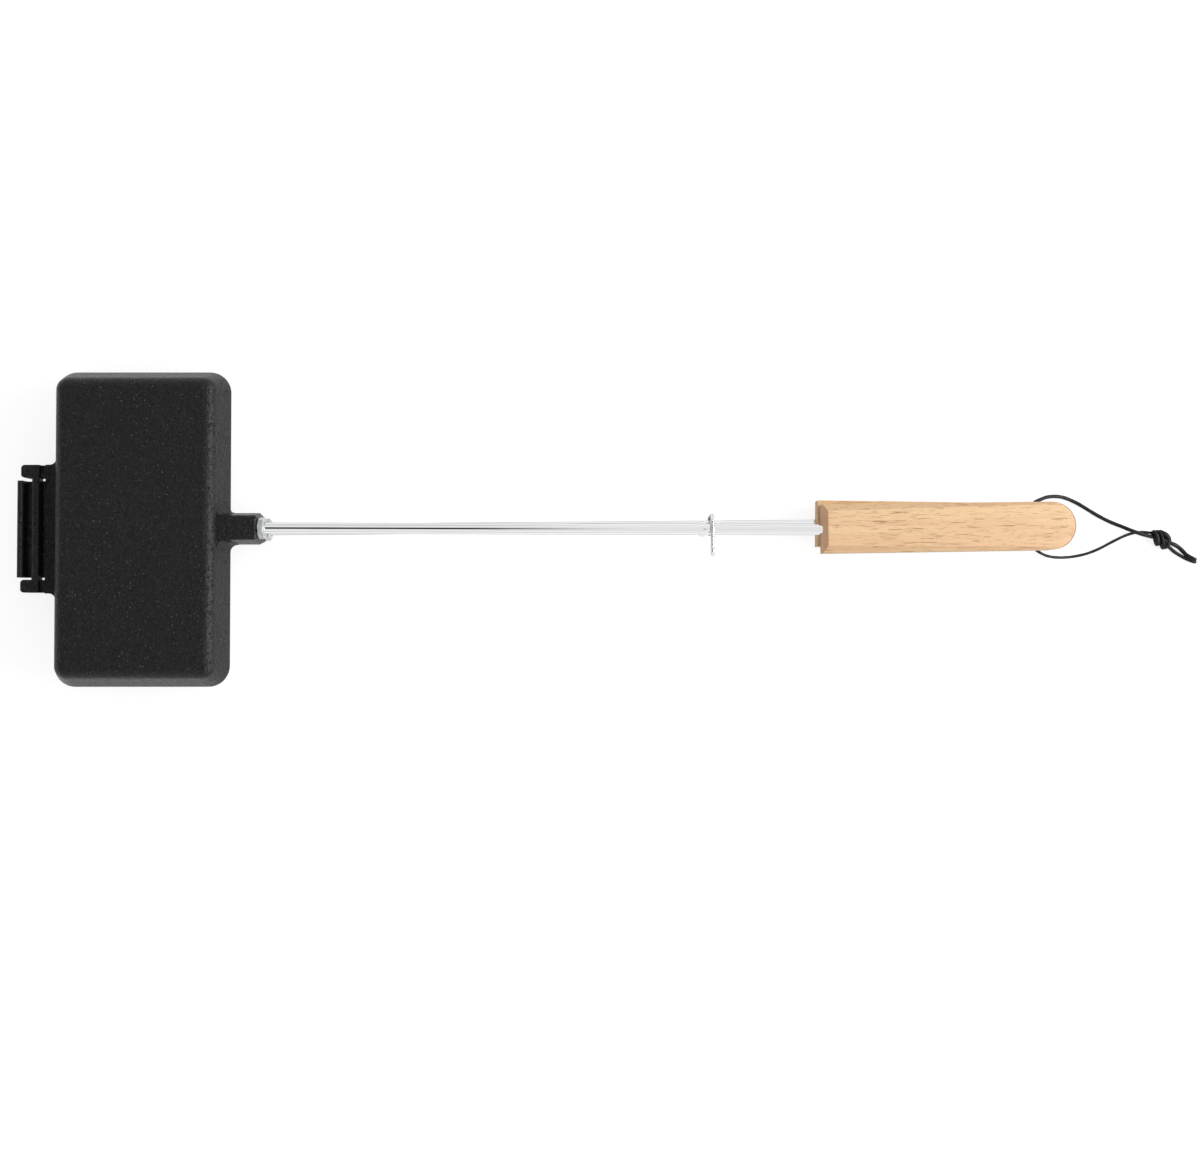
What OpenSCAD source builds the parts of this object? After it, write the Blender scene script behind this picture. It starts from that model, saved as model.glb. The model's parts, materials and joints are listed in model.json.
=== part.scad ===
// Double pie iron: two cast iron half pans that close on each other, each screwed on a steel rod
// with a wooden half handle. The halves turn on a slip hinge at the far end, a wire latch on the
// lower rod holds the handles together, and a leather lace goes through the lower handle.
//
// Frame: +X from the pans to the handles, +Z up, millimetres. X = 0 and Y = 0 at the middle of
// the pans, Z = 0 on the flat bottom that the iron rests on. The halves meet at Z = half_h.

/* [Pans] */
// Length of a pan at its rim, along the rods
pan_len = 116.3; // [90:0.1:160]
// Width of a pan at its rim, across the rods
pan_wid = 209; // [150:1:260]
// Outside height of one half
half_h = 21; // [18:0.5:30]
// Corner radius of the rim
corner_r = 14; // [13.5:0.5:24]
// Outside draft of the walls, in degrees
wall_draft = 20; // [8:1:21]
// Radius of the edge between a wall and the flat face
edge_r = 7.6; // [4:0.1:8]
// Width of the flat rim that meets the other half
rim_w = 6; // [4:0.5:6]
// Thickness of the flat face
floor_t = 4; // [3:0.5:6]
// Inside draft of the walls, in degrees
cavity_draft = 15; // [5:1:16]
// Radius between the inside wall and the floor
cavity_edge_r = 4; // [2:0.5:4.4]
// Gap between the two rims as cast
rim_gap = 0.3; // [0.2:0.1:0.6]

/* [Necks] */
// Length of a neck from the rim
neck_len = 20.6; // [16:0.2:30]
// Width of a neck where the halves meet
neck_w = 21; // [17:0.5:26]
// Width of a neck at its outer face
neck_top_w = 16; // [14:0.5:20]
// Sideways place of the necks
neck_side = 0.3; // [-1:0.1:1]
// Height of a neck
neck_h = 15.5; // [14:0.5:17]
// Root fillet on the left side of a neck
neck_fillet_r = 2.6; // [1:0.2:5]
// Root fillet on the right side of a neck
neck_gusset_r = 5; // [2:0.2:7]
// Chamfer round the end and along the outer edges of a neck
neck_chamfer = 1.2; // [0.5:0.1:2]

/* [Rods] */
// Diameter of a rod
rod_d = 7.4; // [5:0.1:7.6]
// Length of the upper rod from its neck to its handle
rod_len = 370.8; // [250:0.1:450]
// Distance between the two rods' centres
rod_spacing = 17.6; // [16:0.1:20]
// Outside diameter of the thread on a rod's end
thread_d = 8; // [7:0.5:9]
// Depth of the threaded hole in a neck
thread_depth = 19; // [14:0.5:24]
// Length of a rod inside its handle
tang_len = 62; // [40:1:90]
// Gap round a rod in its hole, on the radius
seat_gap = 0.05; // [0.02:0.01:0.1]
// Sideways place of the rods' holes in the necks
rod_side = 0.2; // [-1:0.1:1]
// Sideways splay of the upper rod, in degrees
upper_splay = -0.14; // [-0.3:0.01:0.3]
// Sideways splay of the lower rod, in degrees
lower_splay = 0.47; // [0:0.01:0.6]

/* [Jam nuts] */
// Width of a nut across its flats
nut_af = 13; // [11:0.5:15]
// Thickness of a nut
nut_t = 4; // [3:0.5:6.5]
// Gap between a nut and its neck
nut_gap = 0.4; // [0:0.1:0.8]
// Turn of the upper nut, in degrees
upper_nut_turn = 17; // [0:1:59]
// Turn of the lower nut, in degrees
lower_nut_turn = 42; // [0:1:59]

/* [Handles] */
// Length of a half handle
handle_len = 165.4; // [120:0.1:200]
// Thickness of a half handle
handle_t = 16.4; // [14:0.2:20]
// Gap between the closed half handles
handle_gap = 0.8; // [0.4:0.1:2]
// Width of the upper half handle at the rods
upper_handle_w = 32.2; // [26:0.2:40]
// Width of the lower half handle at the rods
lower_handle_w = 30.6; // [26:0.2:40]
// How much narrower a half handle is at its round end
handle_taper = 0.8; // [0:0.1:4]
// Sideways place of the upper half handle at the rods
upper_handle_y = -0.3; // [-2:0.1:3]
// Sideways place of the lower half handle at the rods
lower_handle_y = 4; // [0:0.1:4]
// How far the upper half handle is turned on its rod, in degrees
upper_handle_turn = 0.7; // [-1:0.05:1]
// How far the lower half handle is turned on its rod, in degrees
lower_handle_turn = -0.65; // [-1:0.05:1]
// How much nearer the pans the lower half handle starts
lower_handle_lead = 1.4; // [0:0.1:8]
// Long side bevel at the rods, measured across
side_bevel_w = 5; // [2:0.2:7]
// Long side bevel at the rods, measured down
side_bevel_h = 4.4; // [2:0.2:6]
// Long side bevel at the round end, measured across
far_bevel_w = 1.6; // [0.8:0.2:3]
// Bevel of the end that the rod enters, measured along
end_bevel_w = 3; // [1:0.2:6]
// Rounding of the top edge round the far end
far_edge_r = 2; // [1:0.2:4]
// Diameter of the cross hole for the lace
lace_hole_d = 6; // [4:0.2:7]
// Depth of the eased mouths of that hole
lace_hole_ease = 1; // [0.5:0.1:1.5]
// Distance of that hole from the round end
lace_hole_from_end = 20; // [16:0.2:30]

/* [Slip hinge] */
// How far the upper half opens, in degrees
open_angle = 105; // [90:1:110]
// Distance of the hinge bar's centre from the rim
bar_x = 11.2; // [10.2:0.1:12.2]
// Thickness of the hinge bar, and diameter of its round underside
bar_d = 5.3; // [4:0.1:5.6]
// Rounding of the bar's top edge on the side away from the pan
bar_soft_r = 2.4; // [1:0.1:2.6]
// Rounding of the bar's top edge on the side of the pan
bar_edge_r = 0.8; // [0.4:0.1:1.6]
// Running gap round the hinge bar
hinge_gap = 0.3; // [0.2:0.05:0.5]
// Width across both cheeks that carry the bar
cheek_span = 84.4; // [60:0.2:110]
// Width of one cheek
cheek_w = 8.5; // [6.5:0.1:12]
// Reach of the cheeks from the rim
cheek_reach = 20.8; // [19.5:0.1:22]
// Height of the cheeks and the bar over the meeting plane
cheek_h = 7; // [5:0.1:7.6]
// Depth of the cheeks under the meeting plane
cheek_drop = 3.5; // [2:0.5:5]
// Corner radius of the cheeks
cheek_r = 3; // [1:0.2:3.2]
// Rounding of the cheeks' top edge
cheek_edge_r = 1.2; // [0.6:0.1:2]
// Depth of the root plate, from the rim
root_t = 5.8; // [4:0.1:6]
// Height of the root plate over the meeting plane
root_h = 3; // [2:0.1:4]
// How far the root plate stands out past the cheeks
root_over = 0.5; // [0:0.1:2]
// Root fillet at the plate's ends
root_fillet_r = 4; // [2:0.5:5]
// Gap between a cheek and the lower half's rim as they turn
turn_gap = 0.5; // [0.3:0.1:1]
// Gap between the hook and a cheek
side_gap = 1.6; // [0.5:0.1:3]
// Outer face of the hook's lip, from the rim
lip_reach = 24.6; // [24:0.1:30]
// Thickness of the lip
lip_t = 4.2; // [3:0.1:4.5]
// Height of the lip over the hinge bar's centre
lip_rise = 4; // [2:0.2:4.4]
// Thickness of the trough under the bar's way out
trough_t = 3.8; // [3:0.1:6]

/* [Latch] */
// Place of the latch along the iron
latch_x = 377.1; // [150:0.1:420]
// Diameter of the latch wire
wire_d = 2.5; // [2:0.1:3.5]
// Gap between the latch's eye and the lower rod, on the radius
eye_gap = 0.6; // [0.3:0.1:1.2]
// Gap between the swinging latch and the upper rod
over_gap = 0.35; // [0.3:0.05:1]
// Bend radius of the latch at its top, on the wire's centreline
latch_bend_r = 4; // [3:0.5:6]
// Length of the straight tail beyond the lower rod's centre
tail_len = 17.5; // [10:0.5:24]
// Radius of the thumb curl at the tail's end, on the wire's centreline
curl_r = 2.4; // [2:0.1:4]
// Length of a pinched stop on a rod
pinch_len = 7; // [4:0.5:10]
// How far a pinched stop stands out on each side
pinch_out = 1.3; // [0.8:0.1:2]
// Gap between the latch wire and the stops on the lower rod
pinch_gap = 0.6; // [0.3:0.1:2]
// Gap between the latch wire and the stop on the upper rod
upper_pinch_gap = 2; // [1:0.1:4]

/* [Lace] */
// Diameter of the leather lace
lace_d = 2.4; // [2:0.1:2.6]
// Height of the knot
knot_h = 6; // [5:0.2:7]

/* [Hidden] */

$fn = 72;

iron = "#2b2c2e";
steel = "#c9cbce";
zinc = "#b4b6b8";
timber = "#dcb483";
leather = "#1f1b19";

// Small overlap where one solid runs into another, and length of a tool past a face
bite = 2;

rim_x = pan_len / 2;
rim_z = rim_gap / 2;
shell_h = half_h - rim_z;
neck_end = rim_x + neck_len;
rod_z = rod_spacing / 2;
thread_end = nut_gap + nut_t + 1;
handle_x = neck_end + rod_len;
bar_at = [-rim_x - bar_x, half_h];
cheek_in = cheek_span / 2 - cheek_w;
hook_w = 2 * (cheek_in - side_gap);
bar_left = bar_at[0] - bar_d / 2;
bar_right = bar_at[0] + bar_d / 2;
trough_r = bar_d / 2 + hinge_gap;
lip_in = -rim_x - lip_reach + lip_t;

// Where the middle of the bar's soft edge comes to when the iron is wide open, from the pivot
open_edge =
    let (from = [bar_soft_r - bar_d / 2, cheek_h - bar_soft_r])
    [
        from[0] * cos(open_angle) - from[1] * sin(open_angle),
        from[0] * sin(open_angle) + from[1] * cos(open_angle)
    ];
trough_floor = half_h + min(open_edge[1], 0) - bar_soft_r - 1.5 * hinge_gap;

lace_hole_x = handle_x - lower_handle_lead + handle_len - lace_hole_from_end;
lace_hole_y = lower_handle_y + (handle_len - lace_hole_from_end) * tan(lower_handle_turn);
handle_mid_z = (handle_gap + handle_t) / 2;

// Y of a rod's centre at a place along the iron
function rod_y(x, splay) = rod_side + (x - neck_end) * tan(splay);

// ---- Placing -------------------------------------------------------------------------------

// From a half's own frame, with its rim plane at Z = 0, to its place in the closed iron
module upper_place() {
    translate([0, 0, half_h + rim_z])
        children();
}

module lower_place() {
    translate([0, 0, half_h - rim_z])
        mirror([0, 0, 1])
            children();
}

// Puts what stands on +Z at the origin along a rod, starting at the neck's end
module along_rod(side, splay) {
    translate([neck_end, rod_side, half_h + side * rod_z])
        rotate([0, 0, splay])
            rotate([0, 90, 0])
                children();
}

// ---- Pans ----------------------------------------------------------------------------------

// Half section of a drafted tub: out from x = 0 to its rim, which is at `reach`. It narrows by
// `draft` up to the height h, where an edge of radius r runs tangent into the flat face.
module tub_section(reach, h, draft, r, below) {
    inset = (r + (h - r) * sin(draft)) / cos(draft);
    touch = [reach - inset + r * cos(draft), h - r + r * sin(draft)];
    intersection() {
        union() {
            polygon([[0, -below], [reach, -below], [reach, 0], touch, [reach - inset, h], [0, h]]);
            translate([reach - inset, h - r])
                circle(r);
        }
        translate([0, -below])
            square([reach, h + below]);
    }
}

// A drafted tub with round corners, its rim at Z = 0 and its flat face at Z = h
module tub(len, wid, corner, h, draft, r, below = 0) {
    run_x = len / 2 - corner;
    run_y = wid / 2 - corner;
    translate([-run_x, -run_y, -below])
        cube([2 * run_x, 2 * run_y, h + below]);
    for (turn = [0, 180]) {
        rotate([0, 0, turn]) {
            translate([run_x, run_y, 0])
                rotate([90, 0, 0])
                    linear_extrude(2 * run_y)
                        tub_section(corner, h, draft, r, below);
            translate([-run_x, run_y, 0])
                rotate([90, 0, 90])
                    linear_extrude(2 * run_x)
                        tub_section(corner, h, draft, r, below);
            translate([run_x, run_y, 0])
                rotate_extrude(angle = 90)
                    tub_section(corner, h, draft, r, below);
            translate([-run_x, run_y, 0])
                rotate([0, 0, 90])
                    rotate_extrude(angle = 90)
                        tub_section(corner, h, draft, r, below);
        }
    }
}

// Concave fillet along a corner at the origin, with its two walls on the X and Y axes
module fillet_post(r, h) {
    linear_extrude(h)
        difference() {
            translate([-bite, -bite])
                square(r + bite);
            translate([r, r])
                circle(r);
        }
}

// Neck with its chamfered end, sloping sides and root fillets that follow the sloping wall
module neck() {
    lean = atan((neck_w - neck_top_w) / 2 / neck_h);
    root = rim_x - rim_w - bite;
    difference() {
        translate([root, 0, 0])
            rotate([90, 0, 90])
                linear_extrude(neck_end - root)
                    polygon([
                        [-neck_w / 2, 0],
                        [neck_w / 2, 0],
                        [neck_top_w / 2, neck_h - neck_chamfer],
                        [neck_top_w / 2 - neck_chamfer, neck_h],
                        [neck_chamfer - neck_top_w / 2, neck_h],
                        [-neck_top_w / 2, neck_h - neck_chamfer]
                    ]);
        translate([neck_end - neck_chamfer, -neck_w, neck_h])
            rotate([0, 45, 0])
                cube([2 * neck_w, 2 * neck_w, 2 * neck_w]);
        for (side = [-1, 1])
            translate([neck_end - neck_chamfer, side * neck_w / 2, 0])
                rotate([side * lean, 0, 0])
                    rotate([0, 0, side * -45])
                        translate([0, side > 0 ? 0 : -neck_w, -bite])
                            cube([neck_w, neck_w, neck_h + 2 * bite]);
    }
    intersection() {
        translate([root, -neck_w, 0])
            cube([neck_len, 2 * neck_w, neck_h - neck_chamfer]);
        union() {
            translate([rim_x, neck_w / 2, 0])
                rotate([lean, -wall_draft, 0])
                    translate([0, 0, -bite])
                        fillet_post(neck_fillet_r, neck_h + 3 * bite);
            translate([rim_x, -neck_w / 2, 0])
                rotate([-lean, -wall_draft, 0])
                    mirror([0, 1, 0])
                        translate([0, 0, -bite])
                            fillet_post(neck_gusset_r, neck_h + 3 * bite);
        }
    }
}

module half_block() {
    tub(pan_len, pan_wid, corner_r, shell_h, wall_draft, edge_r);
    translate([0, neck_side, 0])
        neck();
}

module half_cavity() {
    tub(pan_len - 2 * rim_w, pan_wid - 2 * rim_w, corner_r - rim_w, shell_h - floor_t,
        cavity_draft, cavity_edge_r, bite);
}

// Threaded hole of a neck, cut round the rod that screws into it
module neck_hole(side, splay) {
    along_rod(side, splay)
        translate([0, 0, -thread_depth])
            cylinder(d = thread_d + 2 * seat_gap, h = thread_depth + bite);
}

// ---- Slip hinge ----------------------------------------------------------------------------

// Rectangle from the corner a to the corner b with round corners of radius r
module round_rect(a, b, r) {
    size = b - a;
    translate(a + [r, 0])
        square([size[0] - 2 * r, size[1]]);
    translate(a + [0, r])
        square([size[0], size[1] - 2 * r]);
    for (x = [a[0] + r, b[0] - r], y = [a[1] + r, b[1] - r])
        translate([x, y])
            circle(r);
}

// One cheek from above, from its outer end to the pan
module cheek_plan() {
    translate([0, cheek_in])
        round_rect([-rim_x - cheek_reach, 0], [bite, cheek_w], cheek_r);
}

// Cheek from the side: the block that holds the bar, and the web that joins it to the root plate.
// What lies under the meeting plane stays in a circle round the bar, to clear the lower rim.
module cheek_side() {
    left = -rim_x - cheek_reach;
    low = half_h - cheek_drop;
    high = half_h + cheek_h;
    translate([left + cheek_r, low])
        square([bar_right - left - cheek_r, cheek_r]);
    translate([left, low + cheek_r])
        square([bar_right - left, high - low - cheek_r - cheek_edge_r]);
    translate([left + cheek_edge_r, high - 2 * cheek_edge_r])
        square([bar_right - left - cheek_edge_r - bar_edge_r, 2 * cheek_edge_r]);
    translate([left + cheek_r, low + cheek_r])
        circle(cheek_r);
    translate([left + cheek_edge_r, high - cheek_edge_r])
        circle(cheek_edge_r);
    bar_edge();
    translate([bar_at[0], half_h + rim_z])
        square([bar_x, root_h - rim_z]);
    intersection() {
        translate([bar_at[0], low])
            square([bar_x, cheek_drop + rim_z]);
        translate(bar_at)
            circle(bar_x - turn_gap);
    }
}

// The bar's top edge on the side of the pan, which the cheeks share
module bar_edge() {
    translate([bar_at[0], half_h])
        square([bar_d / 2, cheek_h - bar_edge_r]);
    translate([bar_at[0], half_h])
        square([bar_d / 2 - bar_edge_r, cheek_h]);
    translate([bar_right - bar_edge_r, half_h + cheek_h - bar_edge_r])
        circle(bar_edge_r);
}

// Hinge bar from the side: a deep bar on a round underside that turns in the hook
module bar_section() {
    bar_edge();
    translate(bar_at)
        circle(d = bar_d);
    translate([bar_left, half_h])
        square([bar_d / 2, cheek_h - bar_soft_r]);
    translate([bar_left + bar_soft_r, half_h])
        square([bar_d - bar_soft_r - bar_edge_r, cheek_h]);
    translate([bar_left + bar_soft_r, half_h + cheek_h - bar_soft_r])
        circle(bar_soft_r);
}

// Low plate along the upper rim that the cheeks grow from, with a fillet at each end
module root_plate() {
    half_span = cheek_span / 2 + root_over;
    plate_h = root_h - rim_z;
    translate([-rim_x - root_t, -half_span, half_h + rim_z])
        cube([root_t + rim_w, 2 * half_span, plate_h]);
    for (side = [-1, 1])
        intersection() {
            translate([-rim_x - root_t, -cheek_span, half_h + rim_z])
                cube([root_t + rim_w, 2 * cheek_span, plate_h]);
            translate([-rim_x, side * half_span, half_h])
                rotate([0, wall_draft, 0])
                    mirror([1, 0, 0])
                        mirror([0, side > 0 ? 0 : 1, 0])
                            translate([0, 0, -bite])
                                fillet_post(root_fillet_r, root_h + 2 * bite);
        }
}

// Root plate, cheeks and bar of the upper half
module cheeks() {
    root_plate();
    for (side = [0, 1])
        mirror([0, side, 0])
            intersection() {
                linear_extrude(2 * half_h)
                    cheek_plan();
                translate([0, cheek_span, 0])
                    rotate([90, 0, 0])
                        linear_extrude(2 * cheek_span)
                            cheek_side();
            }
    translate([0, cheek_in + cheek_r, 0])
        rotate([90, 0, 0])
            linear_extrude(2 * (cheek_in + cheek_r))
                bar_section();
}

// The trough that the bar turns in: a saddle round the bar's own centre, and a deeper part
// for the bar's edge as it swings down, where the bar also slips out
module trough_section() {
    out_r = 3;
    saddle_z = bar_at[1] - trough_r;
    translate(bar_at)
        circle(trough_r);
    translate([lip_in, bar_at[1]])
        square([bar_at[0] + trough_r - lip_in, half_h]);
    polygon([
        [bar_at[0], bar_at[1] + bite],
        [bar_at[0], saddle_z],
        [bar_at[0] + open_edge[0], trough_floor],
        [lip_in + out_r, trough_floor],
        [lip_in + out_r, bar_at[1] + bite]
    ]);
    translate([lip_in, trough_floor + out_r])
        square([out_r + bite, half_h]);
    translate([lip_in + out_r, trough_floor + out_r])
        circle(out_r);
}

// Side view of the hook that grows from the lower half
module hook_section() {
    outer = -rim_x - lip_reach;
    bottom = trough_floor - trough_t;
    heel_r = 6;
    inside = -rim_x + rim_w;
    difference() {
        union() {
            translate([outer + heel_r, bottom])
                square([inside - outer - heel_r, half_h - rim_z - bottom]);
            translate([outer + heel_r, bottom + heel_r])
                circle(heel_r);
            translate([outer, bottom + heel_r])
                square([heel_r, bar_at[1] + lip_rise - lip_t / 2 - bottom - heel_r]);
            translate([outer + lip_t / 2, bar_at[1] + lip_rise - lip_t / 2])
                circle(lip_t / 2);
            // web under the trough, down to the pan's wall
            polygon([[-rim_x - root_t, bottom], [inside, bottom], [inside, bottom - root_t]]);
        }
        trough_section();
    }
}

module hook() {
    translate([0, hook_w / 2, 0])
        rotate([90, 0, 0])
            linear_extrude(hook_w)
                hook_section();
}

module lower_pan() {
    color(iron)
        difference() {
            union() {
                lower_place()
                    half_block();
                hook();
            }
            lower_place()
                half_cavity();
            neck_hole(-1, lower_splay);
        }
}

module upper_pan() {
    color(iron)
        difference() {
            union() {
                upper_place()
                    half_block();
                cheeks();
            }
            upper_place()
                half_cavity();
            neck_hole(1, upper_splay);
        }
}

// ---- Rods and nuts -------------------------------------------------------------------------

// The two ears that a pinch presses out of the rod, as long as the pinch, seen flat
module pinch_ears() {
    half = rod_d / 2 + pinch_out;
    arc_r = (pinch_out * pinch_out + pinch_len * pinch_len / 4) / (2 * pinch_out);
    for (side = [0, 1])
        mirror([0, side])
            intersection() {
                translate([0, half - arc_r])
                    circle(arc_r);
                translate([-arc_r, 0])
                    square([2 * arc_r, half]);
            }
}

// A pinched stop at a distance from the neck's end, flattened to the side or up and down
module pinch(at, turn) {
    flat_t = 2.4;
    translate([0, 0, at])
        rotate([0, 0, turn])
            rotate([90, 0, 90])
                translate([0, 0, -flat_t / 2])
                    rotate([0, 0, 90])
                        linear_extrude(flat_t)
                            pinch_ears();
}

// A rod: a thicker rolled thread, the plain shank and a tang with a small chamfer
module rod(side, splay, length) {
    tip = 1;
    along_rod(side, splay) {
        translate([0, 0, -thread_depth + tip])
            cylinder(d = thread_d, h = thread_depth - tip + thread_end);
        cylinder(d = rod_d, h = length - tip);
        translate([0, 0, length - tip])
            cylinder(d1 = rod_d, d2 = rod_d - 2 * tip, h = tip);
    }
}

module upper_rod() {
    at = latch_x - neck_end - wire_d / 2 - upper_pinch_gap - pinch_len / 2;
    color(steel) {
        rod(1, upper_splay, rod_len + tang_len);
        along_rod(1, upper_splay)
            pinch(at, 0);
    }
}

module lower_rod() {
    step = wire_d / 2 + pinch_gap + pinch_len / 2;
    color(steel) {
        rod(-1, lower_splay, rod_len + tang_len - lower_handle_lead);
        along_rod(-1, lower_splay)
            for (way = [-1, 1])
                pinch(latch_x - neck_end + way * step, 90);
    }
}

// Jam nut: a hexagon with both corners' ends turned off
module nut(side, splay, turn) {
    corner_d = nut_af / cos(30);
    face_d = nut_af * 0.96;
    blank_d = corner_d + 1;
    cone_h = (blank_d - face_d) / 2 * tan(30);
    along_rod(side, splay)
        translate([0, 0, nut_gap])
            difference() {
                intersection() {
                    rotate([0, 0, turn])
                        cylinder(d = corner_d, h = nut_t, $fn = 6);
                    rotate_extrude()
                        polygon([
                            [0, 0],
                            [face_d / 2, 0],
                            [blank_d / 2, cone_h],
                            [blank_d / 2, nut_t - cone_h],
                            [face_d / 2, nut_t],
                            [0, nut_t]
                        ]);
                }
                translate([0, 0, -bite])
                    cylinder(d = thread_d + 2 * seat_gap, h = nut_t + 2 * bite);
            }
}

module upper_nut() {
    color(zinc)
        nut(1, upper_splay, upper_nut_turn);
}

module lower_nut() {
    color(zinc)
        nut(-1, lower_splay, lower_nut_turn);
}

// ---- Handles -------------------------------------------------------------------------------

// A half handle in its own frame: flat side on Z = 0, the rod's end at X = 0, round end at +X
module half_handle(width) {
    end_r = (width - handle_taper) / 2;
    run = handle_len - end_r;
    roll = atan(side_bevel_h / side_bevel_w);
    edge_y = width / 2 - side_bevel_w;
    yaw = atan((end_r - far_bevel_w - edge_y) / run);
    difference() {
        linear_extrude(handle_t) {
            polygon([[0, -width / 2], [run, -end_r], [run, end_r], [0, width / 2]]);
            translate([run, 0])
                circle(end_r);
        }
        for (side = [0, 1])
            mirror([0, side, 0])
                translate([0, edge_y, handle_t])
                    rotate([0, 0, yaw])
                        rotate([-roll, 0, 0])
                            translate([-width / 2, -width / 2, 0])
                                cube([handle_len + width, width, width / 2]);
        translate([end_bevel_w, -width, handle_t])
            rotate([0, -atan(side_bevel_h / end_bevel_w), 0])
                translate([-width, 0, 0])
                    cube([width, 2 * width, width]);
        // quarter round along the top edge of the far end
        translate([run, 0, handle_t - far_edge_r])
            rotate([0, 0, -90])
                rotate_extrude(angle = 180)
                    difference() {
                        translate([end_r - far_edge_r, 0])
                            square(2 * far_edge_r);
                        translate([end_r - far_edge_r, 0])
                            circle(far_edge_r);
                    }
    }
}

// Blind hole of a half handle, cut round the rod's tang
module tang_hole(side, splay, start) {
    along_rod(side, splay)
        translate([0, 0, start - bite])
            cylinder(d = rod_d + 2 * seat_gap, h = tang_len + 2 * bite);
}

// Cross hole for the lace, with mouths eased where the round end's sides begin to turn in
module lace_hole() {
    side = (lower_handle_w - handle_taper) / 2;
    ease_d = lace_hole_d + 2 * lace_hole_ease;
    translate([lace_hole_x, lace_hole_y, half_h - handle_mid_z])
        rotate([90, 0, 0]) {
            translate([0, 0, -lower_handle_w])
                cylinder(d = lace_hole_d, h = 2 * lower_handle_w);
            for (turn = [0, 180])
                rotate([turn, 0, 0])
                    translate([0, 0, side - lace_hole_ease]) {
                        cylinder(d1 = lace_hole_d, d2 = ease_d, h = lace_hole_ease);
                        translate([0, 0, lace_hole_ease])
                            cylinder(d = ease_d, h = bite);
                    }
        }
}

module upper_handle() {
    color(timber)
        difference() {
            translate([handle_x, upper_handle_y, half_h + handle_gap / 2])
                rotate([0, 0, upper_handle_turn])
                    half_handle(upper_handle_w);
            tang_hole(1, upper_splay, rod_len);
        }
}

module lower_handle() {
    color(timber)
        difference() {
            translate([handle_x - lower_handle_lead, lower_handle_y, half_h - handle_gap / 2])
                rotate([0, 0, lower_handle_turn])
                    mirror([0, 0, 1])
                        half_handle(lower_handle_w);
            tang_hole(-1, lower_splay, rod_len - lower_handle_lead);
            lace_hole();
        }
}

// ---- Latch ---------------------------------------------------------------------------------

// Arc of wire in the XY plane round the origin, turning clockwise by `sweep` from the angle `from`
module wire_arc(radius, from, sweep) {
    rotate([180, 0, from])
        rotate_extrude(angle = sweep)
            translate([radius, 0])
                circle(d = wire_d);
}

// Latch in its own plane: an eye round the lower rod at the origin, a leg, a bend over the
// upper rod and a tail that ends in a curl. Its tail clears the upper rod at every angle.
module latch_wire() {
    pivot_y = rod_y(latch_x, lower_splay);
    lean = rod_y(latch_x, upper_splay) - pivot_y;
    eye_r = rod_d / 2 + eye_gap + wire_d / 2;
    reach = norm([lean, rod_spacing]) + rod_d / 2 + over_gap + wire_d / 2;
    eye_sweep = 290;
    curl_sweep = 225;
    color(steel)
        translate([latch_x, pivot_y, half_h - rod_z])
            rotate([90, 0, 90]) {
                wire_arc(eye_r, 0, eye_sweep);
                translate([eye_r, 0, 0])
                    rotate([-90, 0, 0])
                        cylinder(d = wire_d, h = reach - latch_bend_r);
                translate([eye_r - latch_bend_r, reach - latch_bend_r, 0])
                    wire_arc(latch_bend_r, 90, 90);
                translate([eye_r - latch_bend_r, reach, 0])
                    rotate([0, -90, 0])
                        cylinder(d = wire_d, h = tail_len + eye_r - latch_bend_r);
                translate([-tail_len, reach + curl_r, 0])
                    wire_arc(curl_r, -90, curl_sweep);
            }
}

// ---- Lace ----------------------------------------------------------------------------------

// Route of the loop: from the knot along the left strand, through the hole in the lower handle
// and back along the right strand. The left strand passes over the right one near the knot.
loop_route = [
    [680, -4.6, 3], [676, -3.8, 3.1], [672.8, -3.1, 3.4], [668.6, -1.9, 3.8], [664.6, -0.4, 3.8],
    [660.8, 1.1, 3.2], [657, 2.9, 2.2], [653.3, 4.5, 1.4], [649.3, 6.2, 1.2], [644, 8.8, 1.2],
    [638.5, 11.9, 1.2], [633, 15.3, 1.2], [627.7, 18.5, 1.2], [622.2, 21.1, 1.4],
    [619.3, 22.1, 2.1], [616.3, 22.8, 3.1], [613.2, 23.1, 4.4], [610, 23.1, 5.8],
    [606.8, 22.8, 7.3], [603.7, 22.2, 8.8], [600.6, 21.1, 10.1], [597.5, 19.8, 11.2],
    [594.9, 18.4, 11.9], [593.6, 16, 12.2], [593.4, 12, 12.2], [593.4, 7, 12.2], [593.4, 2, 12.2],
    [593.4, -3, 12.2], [593.5, -7.6, 12.2], [594, -11, 12.1], [596, -13.6, 11.8],
    [598, -14.8, 11.4], [600.3, -15.9, 10.6], [603.3, -17, 9.2], [606.4, -17.6, 7.7],
    [609.6, -18, 6.2], [612.8, -18.1, 4.7], [616, -18.1, 3.4], [619, -17.9, 2.3],
    [622, -17.7, 1.5], [627.5, -16.8, 1.2], [633, -15.5, 1.2], [638.3, -13.6, 1.2],
    [643.8, -11.1, 1.2], [649.2, -8.2, 1.2], [654.7, -5.4, 1.2], [658.8, -3.5, 1.2],
    [662.8, -2, 1.2], [667, -1.1, 1.2], [671, -0.8, 1.2], [676.2, -1.2, 1.6], [680, -1.9, 1.8]
];

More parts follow.
